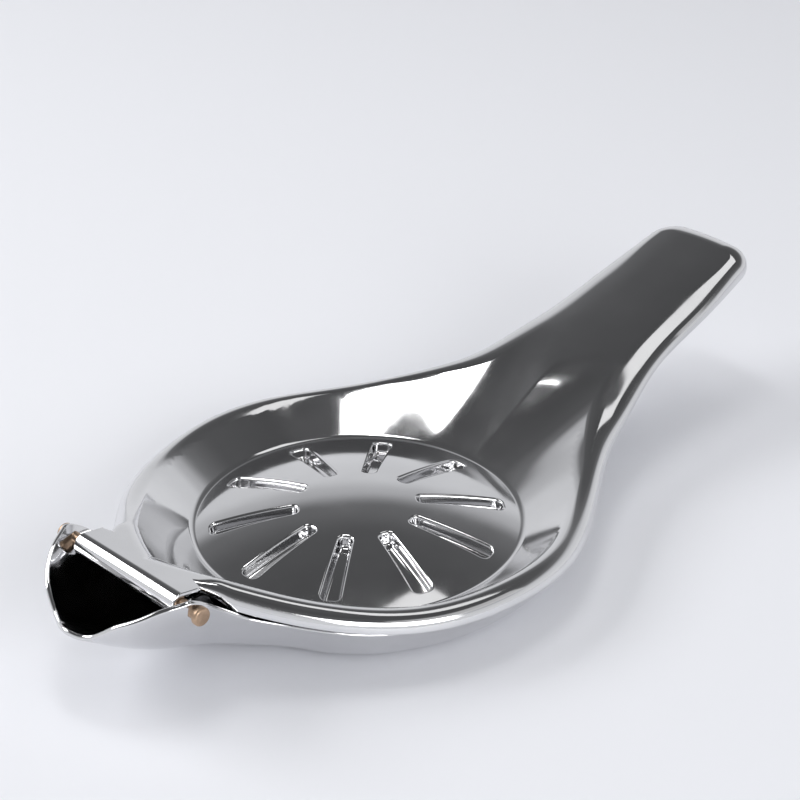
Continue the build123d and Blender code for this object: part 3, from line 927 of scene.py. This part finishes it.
def compass(azimuth, elevation, distance):
    """Place at a distance from the press, by the camera's clock: 0 degrees is straight ahead."""
    turn, rise = math.radians(CAMERA_AZIMUTH + azimuth), math.radians(elevation)
    return Vector((math.sin(turn) * math.cos(rise), math.cos(turn) * math.cos(rise),
                   math.sin(rise))) * distance


def softbox(name, place, size, radiance):
    """Adds a flat lamp of the given size and brightness that faces the press."""
    lamp = bpy.data.lights.new(name, "AREA")
    lamp.shape = "RECTANGLE"
    lamp.size, lamp.size_y = size
    lamp.energy = radiance * math.pi * size[0] * size[1]
    made = link_object(name, lamp)
    made.location = place
    made.rotation_euler = Vector(-place).to_track_quat("-Z", "Y").to_euler()
    return made


def studio_world():
    """Dim studio with a bright band along the horizon, pale to the camera."""
    world = bpy.data.worlds.new("studio")
    world.use_nodes = True
    tree = world.node_tree
    tree.nodes.clear()
    output = tree.nodes.new("ShaderNodeOutputWorld")
    seen = tree.nodes.new("ShaderNodeBackground")
    seen.inputs["Color"].default_value = (0.84, 0.85, 0.89, 1)
    light = tree.nodes.new("ShaderNodeBackground")
    place = tree.nodes.new("ShaderNodeTexCoord")
    split = tree.nodes.new("ShaderNodeSeparateXYZ")
    ramp = tree.nodes.new("ShaderNodeValToRGB")
    ramp.color_ramp.interpolation = "EASE"
    while len(ramp.color_ramp.elements) < len(HORIZON):
        ramp.color_ramp.elements.new(0.5)
    for element, (elevation, level) in zip(ramp.color_ramp.elements, HORIZON):
        element.position = 0.5 + 0.5 * math.sin(math.radians(elevation))
        element.color = (level, level * 1.01, level * 1.04, 1)
    shift = tree.nodes.new("ShaderNodeMapRange")
    shift.inputs["From Min"].default_value = -1
    paths = tree.nodes.new("ShaderNodeLightPath")
    mix = tree.nodes.new("ShaderNodeMixShader")
    link = tree.links.new
    link(place.outputs["Generated"], split.inputs["Vector"])
    link(split.outputs["Z"], shift.inputs["Value"])
    link(shift.outputs["Result"], ramp.inputs["Fac"])
    link(ramp.outputs["Color"], light.inputs["Color"])
    link(paths.outputs["Is Camera Ray"], mix.inputs["Fac"])
    link(light.outputs["Background"], mix.inputs[1])
    link(seen.outputs["Background"], mix.inputs[2])
    link(mix.outputs["Shader"], output.inputs["Surface"])
    bpy.context.scene.world = world


def studio_floor(colour):
    """Wide plain floor of matt paint."""
    nodes = Nodes("floor_paint")
    nodes.shader.inputs["Roughness"].default_value = 0.6
    nodes.shader.inputs["Base Color"].default_value = (*colour, 1)
    mesh = bpy.data.meshes.new("floor")
    side = 1.5
    mesh.from_pydata([(-side, -side, 0), (side, -side, 0), (side, side, 0), (-side, side, 0)],
                     [], [(0, 1, 2, 3)])
    mesh.materials.append(nodes.material)
    floor = link_object("floor", mesh)


def place_camera(lens):
    """Adds the camera, aimed by its azimuth, elevation, roll and offsets from the press."""
    camera = bpy.data.cameras.new("camera")
    camera.sensor_width = 36
    camera.lens = lens / MM
    made = link_object("camera", camera)
    a, e, r = (math.radians(v) for v in (CAMERA_AZIMUTH, CAMERA_ELEVATION, CAMERA_ROLL))
    back = Vector((-math.sin(a) * math.cos(e), -math.cos(a) * math.cos(e), math.sin(e)))
    level = Vector((math.cos(a), -math.sin(a), 0))
    up = back.cross(level)
    right, up = (level * math.cos(r) + up * math.sin(r), up * math.cos(r) - level * math.sin(r))
    eye = right * CAMERA_ACROSS + up * CAMERA_UP + back * CAMERA_DISTANCE
    eye += Vector((0, 0, WALL_FOOT_HEIGHT))
    turn = Matrix((right, up, back)).transposed()
    made.matrix_world = Matrix.Translation(eye * MM) @ turn.to_4x4()
    bpy.context.scene.camera = made


class SQUEEZER_OT_stage(bpy.types.Operator):
    """Builds the pale floor, the lamps and the camera"""
    bl_idname = "squeezer.stage"
    bl_label = "Build Studio Stage"

    def execute(self, context):
        stage = settings("stage")
        studio_floor(tuple(stage.floor_colour))
        studio_world()
        softbox("overhead_softbox", Vector((0.02, 0.075, 0.5)), (0.085, 0.19), stage.key)
        for name, azimuth, elevation, distance, size, share in SIDE_LAMPS:
            softbox(name, compass(azimuth, elevation, distance), size, share * stage.fill)
        ceiling = softbox("ceiling", Vector((0, 0, 1.4)), (1.4, 1.4), 0.13 * stage.key)
        ceiling.visible_glossy = False
        place_camera(stage.lens)
        context.scene.view_settings.view_transform = "Standard"
        return {"FINISHED"}


class SQUEEZER_PT_panel(bpy.types.Panel):
    """Lists the squeezer's sizes, colours and pieces"""
    bl_label = "Lemon Squeezer"
    bl_idname = "SQUEEZER_PT_panel"
    bl_space_type = "VIEW_3D"
    bl_region_type = "UI"
    bl_category = "Squeezer"

    def draw(self, context):
        for group in GROUPS:
            box = self.layout.box()
            box.label(text=group)
            for key in GROUPS[group].__annotations__:
                box.prop(settings(group), key)
        for operator in OPERATORS:
            self.layout.operator(operator.bl_idname)


GROUPS = {"shape": ShapeSettings, "pin": PinSettings, "finish": FinishSettings,
          "stage": StageSettings}
OPERATORS = (SQUEEZER_OT_press, SQUEEZER_OT_bowl, SQUEEZER_OT_pin, SQUEEZER_OT_stage)
CLASSES = (*GROUPS.values(), *OPERATORS, SQUEEZER_PT_panel)


def register():
    for entry in CLASSES:
        bpy.utils.register_class(entry)
    for name, group in GROUPS.items():
        setattr(bpy.types.Scene, "squeezer_" + name, PointerProperty(type=group))


def unregister():
    for name in GROUPS:
        delattr(bpy.types.Scene, "squeezer_" + name)
    for entry in reversed(CLASSES):
        bpy.utils.unregister_class(entry)


def main():
    register()
    bpy.ops.squeezer.press()
    bpy.ops.squeezer.bowl()
    bpy.ops.squeezer.pin()
    bpy.ops.squeezer.stage()
    bpy.context.view_layer.update()


if __name__ == "__main__":
    main()
